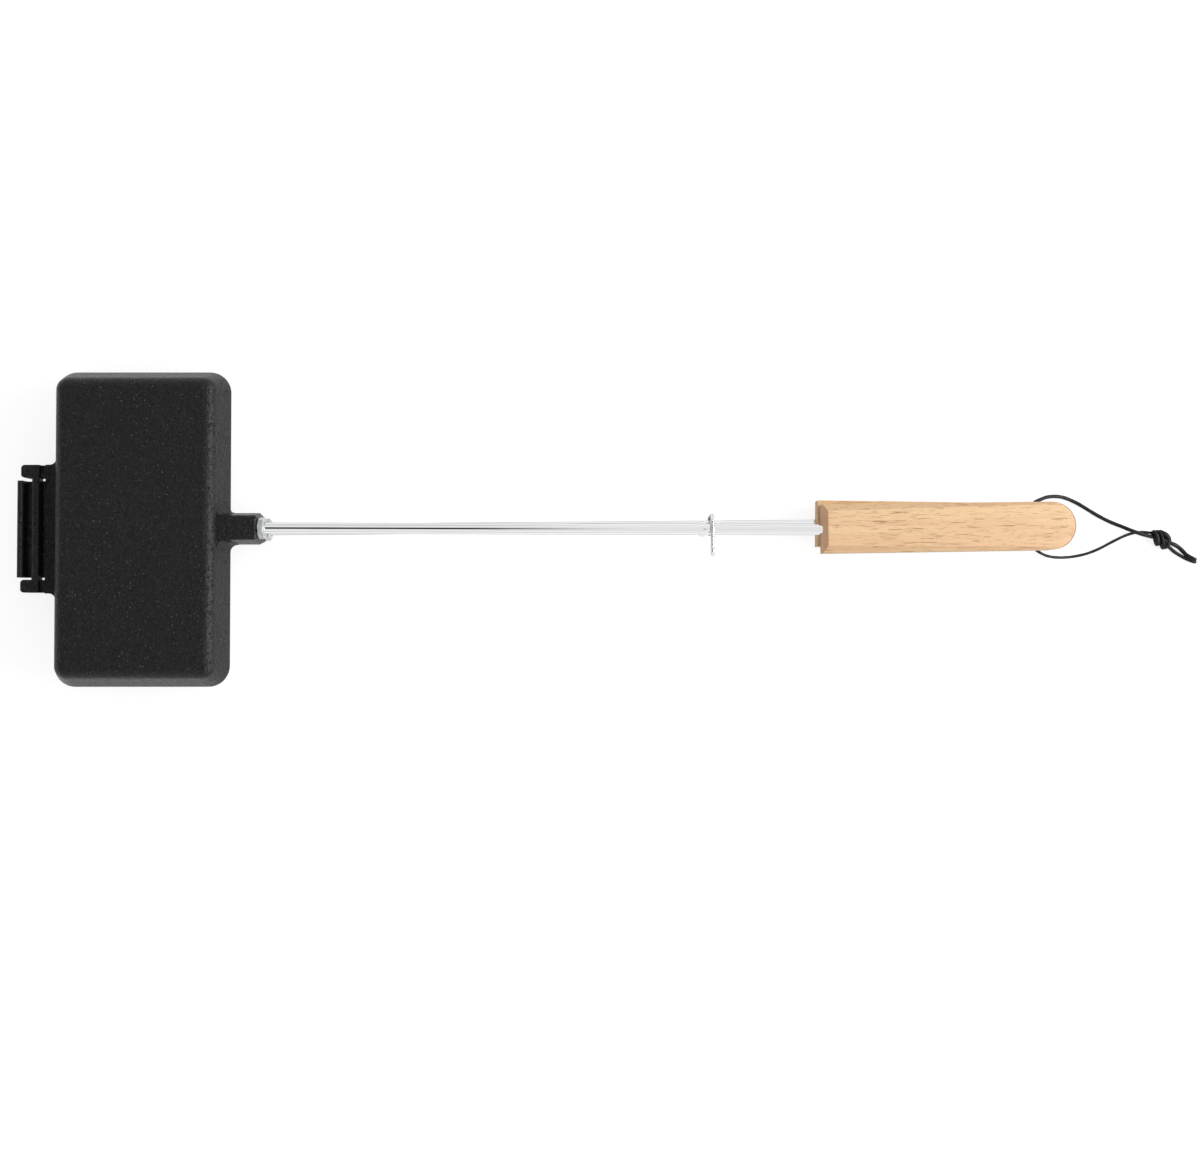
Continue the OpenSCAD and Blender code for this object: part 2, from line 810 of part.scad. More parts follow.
// Routes of the two tails, from the knot to their cut ends
long_tail_route = [
    [688, -7.6, 3], [690.8, -8.8, 2.9], [693.2, -9.7, 2.2], [695.7, -11.2, 1.6],
    [698.2, -13.6, 1.6], [700.1, -16, 2.4], [702.8, -18, 3.2], [706.5, -19.9, 3.6]
];
short_tail_route = [
    [686.6, -9.2, 2.6], [689.3, -11.3, 1.8], [692.8, -14.2, 1.3], [697.3, -17, 1.2],
    [702, -19.4, 1.2], [707.4, -21.3, 1.2]
];

lace_sides = 8;

function unit(v) = v / norm(v);

// Direction of a route at its point i
function heading(route, i) =
    let (last = len(route) - 1)
    unit(route[min(i + 1, last)] - route[max(i - 1, 0)]);

// Ring i round a route, with a flat side down
function ring(route, i, d) =
    let (
        along = heading(route, i),
        side = unit(cross(along, [0, 0, 1])),
        up = cross(side, along)
    )
    [for (k = [0 : lace_sides - 1])
        let (a = (k + 0.5) * 360 / lace_sides)
        route[i] + d / 2 * (cos(a) * side + sin(a) * up)];

// Closed tube of triangles along a route
module lace_tube(route, d) {
    rings = len(route);
    points = [for (i = [0 : rings - 1]) each ring(route, i, d)];
    walls = [
        for (i = [0 : rings - 2], k = [0 : lace_sides - 1])
            let (
                a = i * lace_sides + k,
                b = i * lace_sides + (k + 1) % lace_sides
            )
            each [[a, b, b + lace_sides], [a, b + lace_sides, a + lace_sides]]
    ];
    start = [for (k = [1 : lace_sides - 2]) [0, k + 1, k]];
    last = (rings - 1) * lace_sides;
    end = [for (k = [1 : lace_sides - 2]) [last, last + k, last + k + 1]];
    polyhedron(points, concat(walls, start, end));
}

module lace_loop() {
    color(leather)
        lace_tube(loop_route, lace_d);
}

module lace_tail_long() {
    color(leather)
        lace_tube(long_tail_route, lace_d);
}

module lace_tail_short() {
    color(leather)
        lace_tube(short_tail_route, lace_d);
}

// Half section of a turn of the knot: a round edge on a flat pad
module turn_section(width, height) {
    r = width / 2;
    intersection() {
        union() {
            translate([height / 2 - r, 0])
                circle(r);
            translate([0, -r])
                square([height / 2 - r, width]);
        }
        translate([0, -r])
            square([height, width]);
    }
}

// One turn of the knot, flattened to a racetrack that is `span` long across the lace
module knot_turn(width, span, height) {
    run = span - height;
    rotate([0, 90, 0]) {
        for (end = [-1, 1])
            translate([0, end * run / 2, 0])
                rotate_extrude()
                    turn_section(width, height);
        translate([0, run / 2, 0])
            rotate([90, 0, 0])
                linear_extrude(run) {
                    turn_section(width, height);
                    mirror([1, 0])
                        turn_section(width, height);
                }
    }
}

// Overhand knot in the doubled lace: two tight turns and the bulge where the tails come out
module lace_knot() {
    rise = knot_h / 2 + 0.05;
    color(leather) {
        translate([680, -4.9, rise])
            rotate([0, 0, 4])
                knot_turn(3.4, 11, knot_h);
        translate([683.4, -6, rise])
            rotate([0, 0, 4])
                knot_turn(4, 13, knot_h);
        translate([687.2, -6.4, rise])
            rotate([0, 0, 18])
                knot_turn(4.6, 9.4, knot_h);
    }
}

lower_pan();
upper_pan();
lower_rod();
upper_rod();
lower_nut();
upper_nut();
latch_wire();
lower_handle();
upper_handle();
lace_loop();
lace_knot();
lace_tail_long();
lace_tail_short();
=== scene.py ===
# %% [markdown]
# # A double pie iron
#
# Two cast iron half pans close on each other over a filled bread or a waffle, and long rods keep
# the cook's hands away from the fire. The construction, with its joints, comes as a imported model.
# This script gives it its looks: finishes for iron, plated steel, wood and leather, and the pieces
# whose form is finer than a machine part's. Lengths are in metres, apart from the routes of the
# lace and the measures of the rods, which are in millimetres.

# %% Load the frame
import json
import math

import bpy
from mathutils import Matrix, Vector


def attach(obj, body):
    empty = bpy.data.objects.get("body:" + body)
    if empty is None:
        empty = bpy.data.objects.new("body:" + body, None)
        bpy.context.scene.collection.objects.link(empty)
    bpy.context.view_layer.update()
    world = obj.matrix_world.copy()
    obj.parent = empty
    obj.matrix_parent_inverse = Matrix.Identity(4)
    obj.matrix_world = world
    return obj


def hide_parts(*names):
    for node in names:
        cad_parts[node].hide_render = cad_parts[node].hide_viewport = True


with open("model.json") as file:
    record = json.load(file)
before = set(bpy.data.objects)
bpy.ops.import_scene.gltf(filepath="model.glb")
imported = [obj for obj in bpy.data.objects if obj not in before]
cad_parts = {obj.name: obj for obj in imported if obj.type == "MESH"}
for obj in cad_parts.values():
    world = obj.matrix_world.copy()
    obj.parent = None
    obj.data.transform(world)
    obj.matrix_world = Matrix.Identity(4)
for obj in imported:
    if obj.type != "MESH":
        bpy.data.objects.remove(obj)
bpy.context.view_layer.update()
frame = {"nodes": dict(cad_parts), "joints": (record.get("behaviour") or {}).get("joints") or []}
NODES = frame["nodes"]
print("pieces in the frame:", sorted(NODES))

# %% [markdown]
# ## The camera
#
# The iron is seen from above. Blender's camera looks along -Z and has +Y up, so it needs no more
# than a tilt of about a degree, which shows in the far edges of the pan. The picture is 1200
# pixels wide, and at the plane where the two halves meet one pixel is 0.6635 mm, so the lens
# follows from that width and the distance.

# %% Camera
MM = 0.001
PICTURE_W = 1200
PICTURE_H = 1166
PIXEL = 0.6635 * MM
PAN_CENTRE_PX = (142.6, 529.2)
CAMERA_RISE = 0.95
CAMERA_TILT = math.radians(1.26)

hinge = next(j for j in frame["joints"] if j["name"] == "lid_hinge")
MEET_Z = hinge["pos_m"][2]

camera_data = bpy.data.cameras.new("camera")
camera_data.sensor_width = 36
camera_data.lens = camera_data.sensor_width * CAMERA_RISE / (PICTURE_W * PIXEL)
camera_data.clip_start = 0.05
camera = bpy.data.objects.new("camera", camera_data)
camera.location = (
    (PICTURE_W / 2 - PAN_CENTRE_PX[0]) * PIXEL,
    (PAN_CENTRE_PX[1] - PICTURE_H / 2) * PIXEL - CAMERA_RISE * math.tan(CAMERA_TILT),
    MEET_Z + CAMERA_RISE,
)
camera.rotation_euler = (CAMERA_TILT, 0, 0)
bpy.context.scene.collection.objects.link(camera)
bpy.context.scene.camera = camera
print("camera at", tuple(round(x, 3) for x in camera.location), "lens", round(camera_data.lens, 1))

# %% [markdown]
# ## The lace
#
# A round leather lace goes through a cross hole in the lower handle, and both of its strands run
# to one overhand knot with two short tails. A curve with a round bevel would do for an even
# cord, but a cut lace is thick in one place and thin in another, so each strand is a tube of
# rings along its centreline, with a radius for each ring. The two strands are two cords that
# meet in the hole. The hole's mouths carry them at first, and then they sink to the table.

# %% Routes of the lace, in millimetres
left_route = [
    (593.4, 2.4, 12.2), (593.4, 7, 12.2), (593.4, 12, 12.2), (593.6, 16, 12.2),
    (594.9, 18.4, 11.9), (597.5, 19.8, 11.2), (600.6, 21.1, 10.1), (603.7, 22.2, 8.8),
    (606.8, 22.8, 7.3), (610, 23.1, 5.8), (613.2, 23.1, 4.4), (616.3, 22.8, 3.1),
    (619.3, 22.1, 2.1), (622.2, 21.1, 1.4),
    (627.7, 18.5, 1.2), (633, 15.3, 1.2), (638.5, 11.9, 1.2), (644, 8.8, 1.2), (649.3, 6.2, 1.2),
    (653.3, 4.5, 1.4), (657, 2.9, 2.2), (660.8, 1.1, 3.2), (664.6, -0.4, 3.8), (668.6, -1.9, 3.8),
    (672.8, -3.1, 3.4), (676, -3.8, 3.1), (680, -4.6, 3), (684, -5.8, 3), (688, -7.6, 3),
    (690.8, -8.8, 2.9), (693.2, -9.7, 2.2), (695.7, -11.2, 1.6), (698.2, -13.6, 1.6),
    (700.1, -16, 2.4), (702.8, -18, 3.2), (706.5, -19.9, 3.6),
]
right_route = [
    (593.4, 2.3, 12.2), (593.4, -3, 12.2), (593.5, -7.6, 12.2), (594, -11, 12.1),
    (596, -13.6, 11.8), (598, -14.8, 11.4), (600.3, -15.9, 10.6), (603.3, -17, 9.2),
    (606.4, -17.6, 7.7), (609.6, -18, 6.2), (612.8, -18.1, 4.7), (616, -18.1, 3.4),
    (619, -17.9, 2.3), (622, -17.7, 1.5), (627.5, -16.8, 1.2), (633, -15.5, 1.2),
    (638.3, -13.6, 1.2), (643.8, -11.1, 1.2), (649.2, -8.2, 1.2), (654.7, -5.4, 1.2),
    (658.8, -3.5, 1.2), (662.8, -2, 1.2), (667, -1.1, 1.2), (671, -0.8, 1.2), (676.2, -1.2, 1.6),
    (680, -1.9, 1.8), (683.5, -4.6, 1.8), (685.2, -7.4, 2.1), (686.6, -9.2, 2.6),
    (689.3, -11.3, 1.8), (692.8, -14.2, 1.3), (697.3, -17, 1.2), (702, -19.4, 1.2),
    (707.4, -21.3, 1.2),
]
print("points in the two strands:", len(left_route), len(right_route))

# %% [markdown]
# The knot is the lace again, as one more tube. It winds twice round the two strands, each time
# with its change of place hidden below, and its last stretch bends from the top of the second
# winding round the far side. Windings pressed together are a little flat, so the tube is wider
# along the knot than it is thick.

# %% The knot's path, in millimetres
# Each winding has a place along the iron and across it, and half its own span.
KNOT_PLACES = ((680.0, -4.9, 4.2), (683.3, -6.0, 5.1))
KNOT_MID_Z = 3.05
KNOT_HALF_H = 1.75
KNOT_TILT = 0.17
WINDINGS = 2
STEPS_A_TURN = 28
LEAD_STEPS = 6
LEAD_SHARE = -0.3


def knot_path():
    """The windings as a spiral, then the stretch that bends round the far side."""
    path = []
    for step in range(-STEPS_A_TURN * WINDINGS - LEAD_STEPS, 1):
        turn = 2 * math.pi * step / STEPS_A_TURN
        place = (step - STEPS_A_TURN / 4) / STEPS_A_TURN + WINDINGS
        whole = math.floor(place)
        # The strand keeps its place over the top and changes it in the half turn below.
        part = min(max(((place - whole) - 0.5) * 2, 0), 1)
        share = min(max(whole + part * part * (3 - 2 * part), LEAD_SHARE), 1)
        x, y, span = (a + (b - a) * share for a, b in zip(*KNOT_PLACES))
        side = span * math.cos(turn)
        path.append((x - KNOT_TILT * side, y + side, KNOT_MID_Z + KNOT_HALF_H * math.sin(turn)))
    return path + [(684.5, -1.9, 4.0), (686.2, -2.9, 4.1), (687.7, -4.7, 3.8), (688.3, -6.9, 3.4),
                   (687.9, -8.8, 3.0), (686.9, -10.4, 2.4), (685.3, -11.0, 1.8)]


# A shorter piece of the lace, which fills the bend's inside.
inner_path = [(682.6, -2.6, 2.0), (684.6, -2.9, 2.6), (686.4, -4.2, 2.7), (687.0, -6.4, 2.6),
              (686.4, -8.4, 2.3), (685.0, -9.8, 1.8)]
print("points in the knot:", len(knot_path()) + len(inner_path))

# %% [markdown]
# A tube needs three steps. A smooth curve through the route's points gives more of them, a ring of
# points stands round each, and faces join one ring to the next. A plain mesh like this needs no
# modifier, keeps exactly the thickness it was given, and rides on a body like any solid.


# %% Path, rings and faces
PARTS_BETWEEN = 4
LACE_AROUND = 20
END_SHARE = 0.75


def smooth_path(points):
    """More points between the given ones, on a curve that goes through all of them."""
    ends = [points[0]] + list(points) + [points[-1]]
    made = []
    for a, b, c, d in zip(ends, ends[1:], ends[2:], ends[3:]):
        for step in range(PARTS_BETWEEN):
            t = step / PARTS_BETWEEN
            made.append(0.5 * (2 * b + (c - a) * t + (2 * a - 5 * b + 4 * c - d) * t * t
                               + (3 * b - a - 3 * c + d) * t ** 3))
    return made + [points[-1]]


def mesh_piece(name, points, faces, body):
    """A smooth mesh that rides on a body."""
    data = bpy.data.meshes.new(name)
    data.from_pydata(points, [], faces)
    data.shade_smooth()
    piece = bpy.data.objects.new(name, data)
    bpy.context.scene.collection.objects.link(piece)
    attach(piece, body)
    return piece


def rings_to_faces(rings, around):
    """The faces between rings of points in order, and one face to close each end."""
    faces = [tuple(range(around))[::-1]]
    for ring in range(rings - 1):
        start = ring * around
        for i in range(around):
            j = (i + 1) % around
            faces.append((start + i, start + j, start + around + j, start + around + i))
    faces.append(tuple(range((rings - 1) * around, rings * around)))
    return faces


def tube(path, wide, thick):
    """Points of an oval tube, with a half width and a half thickness for each place."""
    points = []
    last = len(path) - 1
    across = Vector((1, 0, 0))
    for i, place in enumerate(path):
        ahead = (path[min(i + 1, last)] - path[max(i - 1, 0)]).normalized()
        across = (across - across.dot(ahead) * ahead).normalized()
        up = ahead.cross(across)
        share = END_SHARE if i in (0, last) else 1
        for k in range(LACE_AROUND):
            turn = 2 * math.pi * k / LACE_AROUND
            points.append(place + share * (across * wide[i] * math.cos(turn)
                                           + up * thick[i] * math.sin(turn)))
    return points


def above(points, least):
    """The points, with those below a height lifted to it."""
    return [Vector((p.x, p.y, max(p.z, least))) for p in points]


# %% A strand of the lace
LACE_D = 2.4 * MM
# How much the cut lace swells and thins, and how fast from one ring to the next.
SWELLS = ((0.03, 0.7), (0.02, 1.9))


def lace(name, route, thickness, tail_thickness):
    """A lace along a route in millimetres, as a round tube of uneven thickness."""
    path = smooth_path([Vector(p) * MM for p in route])
    radii = []
    for i, place in enumerate(path):
        share = thickness if place.x < KNOT_PLACES[0][0] * MM else tail_thickness
        for swell, pace in SWELLS:
            share += swell * math.sin(i * pace)
        radii.append(LACE_D / 2 * share)
    points = above(tube(path, radii, radii), 0)
    faces = rings_to_faces(len(path), LACE_AROUND)
    strand = mesh_piece(name, points, faces, "lower")
    return strand


# %% The knot
WINDING_HALF_W = 1.7 * MM
WINDING_HALF_H = 1.25 * MM
INNER_R = 1.5 * MM
TABLE_GAP = 0.2 * MM

knot_points = []
knot_faces = []
for route, half_w, half_h in ((knot_path(), WINDING_HALF_W, WINDING_HALF_H),
                              (inner_path, INNER_R, INNER_R)):
    path = smooth_path([Vector(p) * MM for p in route])
    first = len(knot_points)
    knot_points += tube(path, [half_w] * len(path), [half_h] * len(path))
    for face in rings_to_faces(len(path), LACE_AROUND):
        knot_faces.append(tuple(first + i for i in face))
knot = mesh_piece("lace_knot_windings", above(knot_points, TABLE_GAP), knot_faces,
                  "lower")
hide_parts("lace_knot")
print("points on the knot:", len(knot_points))

# %% The two strands
left_strand = lace("lace_left", left_route,
                   thickness=1.04, tail_thickness=1.18)
right_strand = lace("lace_right", right_route,
                    thickness=0.78, tail_thickness=1.0)
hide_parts("lace_loop", "lace_tail_long")
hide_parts("lace_tail_short")

# %% [markdown]
# ## The rods
#
# Each rod is drawn steel with a bright plating. The end in the pan's neck has a rolled thread,
# which is a little thicker than the shank because the steel is pressed up between its grooves. On
# both sides of the latch pliers have pinched the rod into a stop. Both are changes of one round
# section along the rod, so a rod is made of rings, and a function of the place along the rod and
# of the angle round it gives the radius. A screw modifier could make the thread too, but then the
# shank would be a second piece.

# %% Measures of the rods, in millimetres
NECK_END = 78.75
ROD_SIDE = 0.2
ROD_APART = 17.6
ROD_R = 3.7
ROD_LEN = 370.8
TANG_LEN = 62
TANG_TIP = 1.0
HANDLE_LEAD = 1.4
THREAD_R = 4.0
THREAD_START = -18.0
THREAD_END = 5.0
THREAD_PITCH = 1.25
THREAD_DEPTH = 0.62
LATCH_X = 377.1
LATCH_WIRE_R = 1.25
PINCH_LEN = 7.0
PINCH_OUT = 1.3
PINCH_GAP = 0.6
UPPER_PINCH_GAP = 2
print("a rod is", ROD_LEN + TANG_LEN, "mm long with its tang")

# %% Radius of a rod
# The groove's flanks are steeper than a plain zigzag's, which leaves a flat crest between them.
FLANK = 1.3
# A pinch squeezes two ears out, leaves them a little short, and dents the steel between them.
EAR_SHARE = 0.97
EAR_POWER = 8
PINCH_DENT = 0.12


def rod_radius(along, angle, stops, ear_angle):
    """Radius of a rod in millimetres, at a distance from the neck's end and an angle round it."""
    if along < THREAD_END:
        saw = (along / THREAD_PITCH - angle / (2 * math.pi)) % 1
        groove = THREAD_DEPTH * max(1 - abs(2 * saw - 1) * FLANK, 0)
        fade = min(max((THREAD_END - along) / THREAD_PITCH, 0), 1)
        return THREAD_R - groove * fade
    for stop in stops:
        share = abs(along - stop) / (PINCH_LEN / 2)
        if share < 1:
            press = (1 - share * share) ** 2
            ear = abs(math.cos(angle - ear_angle)) ** EAR_POWER
            flat = abs(math.sin(angle - ear_angle)) ** 2
            return ROD_R + press * (PINCH_OUT * EAR_SHARE * ear - PINCH_DENT * flat * (1 - ear))
    return ROD_R


# %% Rings of a rod
THREAD_RINGS_A_MM = 8
SHOULDER_RINGS = (0.001, 0.3)
SHANK_START = 2
STEP_AT_STOP = 0.35
STEP_NEAR_STOP = 1
STEP_ELSEWHERE = 5
STOP_MARGIN = 0.5
APPROACH = 6


def rod_stations(length, stops):
    """Where the rings stand: close together in the thread and the stops, far apart elsewhere."""
    rings = int((THREAD_END - THREAD_START) * THREAD_RINGS_A_MM) + 1
    places = [THREAD_START + i / THREAD_RINGS_A_MM for i in range(rings)]
    places += [THREAD_END + past for past in SHOULDER_RINGS]
    place = THREAD_END + SHANK_START
    while place < length - TANG_TIP:
        places.append(place)
        at_stop = any(abs(place - stop) < PINCH_LEN / 2 + STOP_MARGIN for stop in stops)
        near_stop = any(0 < stop - place < PINCH_LEN / 2 + APPROACH for stop in stops)
        place += STEP_AT_STOP if at_stop else STEP_NEAR_STOP if near_stop else STEP_ELSEWHERE
    return places + [length - TANG_TIP, length]


# %% A rod from rings
ROD_AROUND = 48


def rod(name, node, body, side, splay, length, stops, ear_angle):
    """A rod along the iron, with its thread and its stops."""
    ahead = Vector((math.cos(splay), math.sin(splay), 0))
    across = Vector((-math.sin(splay), math.cos(splay), 0))
    up = Vector((0, 0, 1))
    start = Vector((NECK_END, ROD_SIDE, MEET_Z / MM + side * ROD_APART / 2))
    places = rod_stations(length, stops)
    points = []
    for place in places:
        shrink = TANG_TIP if place == length else 0
        for k in range(ROD_AROUND):
            angle = 2 * math.pi * k / ROD_AROUND
            radius = rod_radius(place, angle, stops, ear_angle) - shrink
            points.append((start + ahead * place + radius * (
                across * math.cos(angle) + up * math.sin(angle))) * MM)
    piece = mesh_piece(name, points, rings_to_faces(len(places), ROD_AROUND), body)
    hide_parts(node)
    print(name, "has", len(points), "points")
    return piece


# %% The two rods
UPPER_SPLAY = math.radians(-0.14)
LOWER_SPLAY = math.radians(0.47)
at_latch = LATCH_X - NECK_END
to_stop = LATCH_WIRE_R + PINCH_GAP + PINCH_LEN / 2
to_upper_stop = LATCH_WIRE_R + UPPER_PINCH_GAP + PINCH_LEN / 2
whole_rod = ROD_LEN + TANG_LEN

upper_rod = rod("rod_upper", "upper_rod", "upper", side=1, splay=UPPER_SPLAY,
                length=whole_rod, stops=(at_latch - to_upper_stop,), ear_angle=0)
lower_rod = rod("rod_lower", "lower_rod", "lower", side=-1, splay=LOWER_SPLAY,
                length=whole_rod - HANDLE_LEAD, stops=(at_latch - to_stop, at_latch + to_stop),
                ear_angle=math.pi / 2)

# %% [markdown]
# ## Tools for materials
#
# A material is a tree of nodes. One helper adds a node and links or sets its inputs, and another
# starts a node group. Three effects turn up on more than one finish here, so each is a group with
# its own sizes in millimetres: even grit, scattered spots, and long strokes along the iron. They
# work in the object's own coordinates, so they stay with a piece when the iron opens.

# %% Adding nodes
def put(tree, kind, inputs=None, **settings):
    """Adds a node. An input takes a plain value, or another node's output, which is linked."""
    made = tree.nodes.new(kind)
    for name, value in settings.items():
        setattr(made, name, value)
    for key, value in (inputs or {}).items():
        if isinstance(value, bpy.types.NodeSocket):
            tree.links.new(value, made.inputs[key])
        else:
            made.inputs[key].default_value = value
    return made


def calc(tree, operation, a, b=0.0, clamp=False):
    """One step of arithmetic."""
    return put(tree, "ShaderNodeMath", {0: a, 1: b}, operation=operation,
               use_clamp=clamp).outputs[0]


def ramp(tree, value, low, high, at_low=0.0, at_high=1.0):
    """Goes smoothly from one value to another while `value` goes from low to high."""
    return put(tree, "ShaderNodeMapRange",
               {"Value": value, "From Min": low, "From Max": high, "To Min": at_low,
                "To Max": at_high}, interpolation_type="SMOOTHSTEP").outputs["Result"]


def blend(tree, share, first, second):
    """From the first value to the second by a share."""
    return put(tree, "ShaderNodeMix", {0: share, 2: first, 3: second}).outputs[0]


def blend_colour(tree, share, first, second):
    """From the first colour to the second by a share."""
    return put(tree, "ShaderNodeMix", {0: share, 6: first, 7: second}, data_type="RGBA").outputs[2]


def stain(tree, colour, second, mask, strength):
    """Lays a second colour over a colour where a mask says so, at a strength."""
    return blend_colour(tree, calc(tree, "MULTIPLY", mask, strength), colour, second)


def overlap(tree, first, *others):
    """The mask of where several masks lie over each other."""
    for other in others:
        first = calc(tree, "MULTIPLY", first, other)
    return first


def layers(tree, *pairs):
    """Adds up masks or heights, each times its own factor."""
    total = 0.0
    for value, factor in pairs:
        total = calc(tree, "ADD", calc(tree, "MULTIPLY", value, factor), total)
    return total


# %% Groups of nodes
def new_group(name, inputs, outputs):
    """An empty node group with named number sockets."""
    tree = bpy.data.node_groups.new(name, "ShaderNodeTree")
    for label, value in inputs.items():
        socket = tree.interface.new_socket(name=label, in_out="INPUT",
                                           socket_type="NodeSocketFloat")
        socket.default_value = value
    for label in outputs:
        tree.interface.new_socket(name=label, in_out="OUTPUT", socket_type="NodeSocketFloat")
    return tree, tree.nodes.new("NodeGroupInput").outputs, tree.nodes.new("NodeGroupOutput").inputs


def use(tree, group, **values):
    """Places a node group in a material with its own values."""
    made = tree.nodes.new("ShaderNodeGroup")
    made.node_tree = group
    for label, value in values.items():
        made.inputs[label.capitalize()].default_value = value
    return made.outputs


def times_a_metre(tree, millimetres):
    """How often a thing of a size in millimetres fits in a metre, for the scale of a texture."""
    return calc(tree, "DIVIDE", 1000, millimetres)


# %% Even grit
grit_group, given, gives = new_group("grit", {"Size": 1.0, "Detail": 3.0}, ["Height"])
place = put(grit_group, "ShaderNodeTexCoord").outputs["Object"]
finer = times_a_metre(grit_group, given["Size"])
bumps = put(grit_group, "ShaderNodeTexNoise",
            {"Vector": place, "Scale": finer, "Detail": given["Detail"]})
grit_group.links.new(bumps.outputs["Fac"], gives["Height"])
print("group", grit_group.name)

# %% Scattered spots
spots_group, given, gives = new_group(
    "scattered spots", {"Size": 2.0, "Radius": 0.3, "Share": 0.3, "Ragged": 0.4}, ["Mask"])
place = put(spots_group, "ShaderNodeTexCoord").outputs["Object"]
finer = times_a_metre(spots_group, given["Size"])
rough = put(spots_group, "ShaderNodeTexNoise",
            {"Vector": place, "Scale": calc(spots_group, "MULTIPLY", finer, 2.5), "Detail": 2})
wobble = calc(spots_group, "MULTIPLY",
              calc(spots_group, "SUBTRACT", rough.outputs["Fac"], 0.5), given["Ragged"])
cells = put(spots_group, "ShaderNodeTexVoronoi", {"Vector": place, "Scale": finer})
away = calc(spots_group, "ADD", cells.outputs["Distance"], wobble)
spot = ramp(spots_group, away, given["Radius"],
            calc(spots_group, "MULTIPLY", given["Radius"], 0.5))
chance = put(spots_group, "ShaderNodeSeparateColor", {0: cells.outputs["Color"]}).outputs[0]
chosen = calc(spots_group, "LESS_THAN", chance, given["Share"])
spots_group.links.new(overlap(spots_group, spot, chosen), gives["Mask"])
print("group", spots_group.name)

# %% Long strokes
strokes_group, given, gives = new_group(
    "long strokes", {"Length": 12.0, "Width": 0.6, "Rarity": 0.6, "Edge": 0.06}, ["Mask", "Tone"])
place = put(strokes_group, "ShaderNodeTexCoord").outputs["Object"]
along = times_a_metre(strokes_group, given["Length"])
across = times_a_metre(strokes_group, given["Width"])
stretch = put(strokes_group, "ShaderNodeCombineXYZ", {0: along, 1: across, 2: across})
longer = put(strokes_group, "ShaderNodeVectorMath", {0: place, 1: stretch.outputs[0]},
             operation="MULTIPLY")
grain = put(strokes_group, "ShaderNodeTexNoise",
            {"Vector": longer.outputs[0], "Scale": 1, "Detail": 2, "Distortion": 0.15})
cut = ramp(strokes_group, grain.outputs["Fac"], given["Rarity"],
           calc(strokes_group, "ADD", given["Rarity"], given["Edge"]))
strokes_group.links.new(cut, gives["Mask"])
strokes_group.links.new(grain.outputs["Fac"], gives["Tone"])
print("group", strokes_group.name)


# %% Start and finish of a material
def start_material(name):
    """A material with an empty tree, and the shader that all its nodes lead to."""
    made = bpy.data.materials.new(name)
    made.use_nodes = True
    tree = made.node_tree
    tree.nodes.clear()
    shader = put(tree, "ShaderNodeBsdfPrincipled")
    put(tree, "ShaderNodeOutputMaterial", {"Surface": shader.outputs[0]})
    return made, tree, shader.inputs


def raise_surface(tree, inputs, height):
    """Bump from a height in metres."""
    bump = put(tree, "ShaderNodeBump", {"Height": height, "Strength": 1.0, "Distance": 1.0})
    tree.links.new(bump.outputs["Normal"], inputs["Normal"])


# %% [markdown]
# ## Cast iron
#
# The pans are cast in sand and coated with a matt black finish. The sand leaves a fine grain,
# a softer orange peel below it, ragged pits where sand broke away, darkened with painted shade,
# and tiny raised points where a grain stands up, each with a painted glint in its colour. A casting
# has no plain face anywhere, so height, colour and roughness all come from the same few layers.

# %% Cast iron
IRON = (0.0072, 0.0072, 0.0075, 1)
IRON_WORN = (0.0155, 0.0154, 0.0152, 1)
# Painted shade: a near-black colour for the pits and pores.
IRON_PIT_SHADE = (0.0004, 0.0004, 0.0004, 1)
# Painted glint: a bright colour for the raised points.
IRON_PAINTED_GLINT = (0.14, 0.14, 0.14, 1)

cast_iron, tree, shader = start_material("cast_iron")
sand = use(tree, grit_group, size=1.1, detail=3)["Height"]
peel = use(tree, grit_group, size=3.4, detail=2)["Height"]
cloud = use(tree, grit_group, size=26, detail=3)["Height"]
shaded_pits = use(tree, spots_group, size=2.4, radius=0.46, share=0.5, ragged=1.1)["Mask"]
shaded_pores = use(tree, spots_group, size=1.6, radius=0.38, share=0.22, ragged=0.6)["Mask"]
# Raised points, each with a bump and a painted glint in its colour.
points = use(tree, spots_group, size=1.7, radius=0.24, share=0.24, ragged=0.7)["Mask"]
rough_part = ramp(tree, cloud, 0.38, 0.6, 0.3, 1)
shaded_pits = overlap(tree, shaded_pits, rough_part)
points = overlap(tree, points, rough_part)
colour = blend_colour(tree, ramp(tree, sand, 0.42, 0.66), IRON, IRON_WORN)
# Painted shade darkens the pits and pores.
colour = stain(tree, colour, IRON_PIT_SHADE, shaded_pits, 0.75)
colour = stain(tree, colour, IRON_PIT_SHADE, shaded_pores, 0.6)
# A painted glint brightens the raised points.
colour = stain(tree, colour, IRON_PAINTED_GLINT, points, 0.8)
tree.links.new(colour, shader["Base Color"])
tree.links.new(ramp(tree, sand, 0.25, 0.75, 0.30, 0.44), shader["Roughness"])
shader["Specular IOR Level"].default_value = 0.28
raise_surface(tree, shader, layers(tree, (sand, 0.00045), (peel, 0.00050), (shaded_pits, -0.00050),
                                   (shaded_pores, -0.00030), (points, 0.00025)))
print("finish", cast_iron.name)

# %% [markdown]
# ## Plated steel
#
# The rods shine like mirrors, with faint lines along them from the drawing die and a few rubs
# across. A plain metal would show one endless highlight, and these lines are what breaks it up.
# The nuts have a duller zinc coat with a mottle in it, and the latch is a bright wire that is
# handled more than the rest. A thin rod between white walls would vanish at its edges, so Specular
# Tint, which is a metal's colour at a grazing angle, is dark and draws them.

# %% Rods
ROD_BRIGHT = (0.92, 0.92, 0.93, 1)
ROD_DRAWN = (0.78, 0.79, 0.81, 1)
ROD_RIM_TINT = (0.25, 0.25, 0.27, 1)

